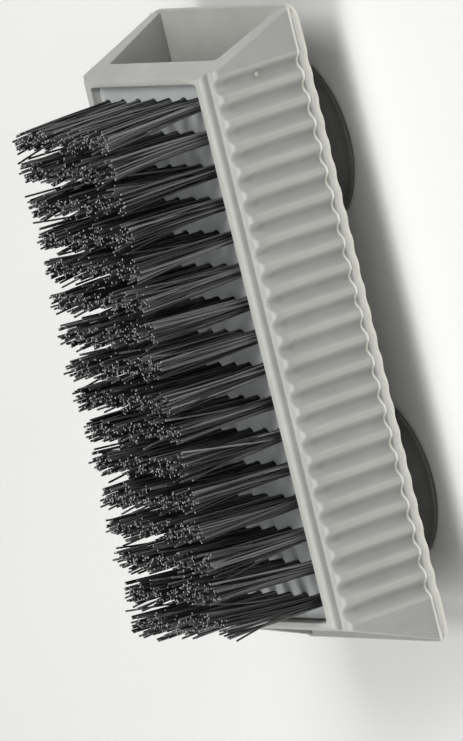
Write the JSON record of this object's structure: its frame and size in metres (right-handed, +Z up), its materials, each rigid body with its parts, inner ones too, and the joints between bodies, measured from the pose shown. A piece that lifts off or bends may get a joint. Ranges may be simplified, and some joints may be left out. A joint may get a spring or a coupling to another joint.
{
  "type": "nail brush",
  "caption": "Basin nail brush with a hollow fluted body open at its sloped ends, a raised rim round a field of nylon tufts, and suction cups on its back.",
  "frame": {"origin": "on the standing surface, below the middle of the body", "axes": "+Z up, from the suction cups to the bristle tips; +X along the brush; +Y across it"},
  "size_m": [0.0966, 0.0394, 0.0401],
  "materials": {
    "body_plastic": "satin moulded grey",
    "plate_plastic": "satin moulded blue-grey",
    "bristle_nylon": "glossy drawn black filament",
    "cup_rubber": "matte moulded black"
  },
  "bodies": {
    "brush": {"body_shell": "body_plastic", "back_plate": "body_plastic", "bristle_plate": "plate_plastic", "bristles_1": "bristle_nylon", "bristles_2": "bristle_nylon", "bristles_3": "bristle_nylon", "bristles_4": "bristle_nylon"},
    "cup_a": {"suction_cup_a": "cup_rubber"},
    "cup_b": {"suction_cup_b": "cup_rubber"}
  },
  "joints": [
    {"name": "cup_a_swivel", "type": "hinge", "parent": "brush", "child": "cup_a", "pos_m": [0.026, 0, 0.0078], "axis": [0, 0, 1], "continuous": true},
    {"name": "cup_b_swivel", "type": "hinge", "parent": "brush", "child": "cup_b", "pos_m": [-0.026, 0, 0.0078], "axis": [0, 0, 1], "continuous": true}
  ]
}
